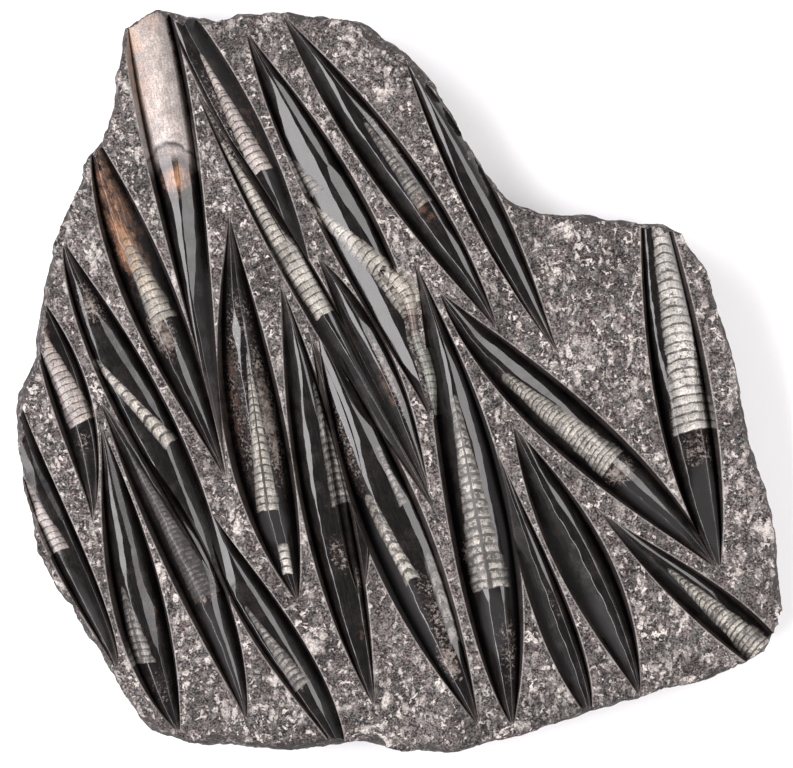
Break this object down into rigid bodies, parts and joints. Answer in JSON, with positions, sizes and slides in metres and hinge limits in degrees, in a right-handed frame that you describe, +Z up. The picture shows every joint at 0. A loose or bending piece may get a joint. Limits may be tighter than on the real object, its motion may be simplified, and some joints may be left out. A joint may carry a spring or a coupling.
{
  "type": "orthoceras fossil plate",
  "caption": "Flat-backed slab of dark speckled limestone carved so that polished pointed orthoceras fossils stand in trenches.",
  "frame": {"origin": "middle of the bounding box in plan, on the plane of the flat back", "axes": "+Z up out of the carved face, +X to the right and +Y to the top of the plate as it is looked at"},
  "size_m": [0.349, 0.3384, 0.032],
  "materials": {
    "limestone": "dark grey-brown speckled limestone with a matt cut face and rough chipped sides; the fossils are polished black with pale ringed stretches"
  },
  "bodies": {
    "root": {"fossil_slab": "limestone"}
  },
  "joints": []
}
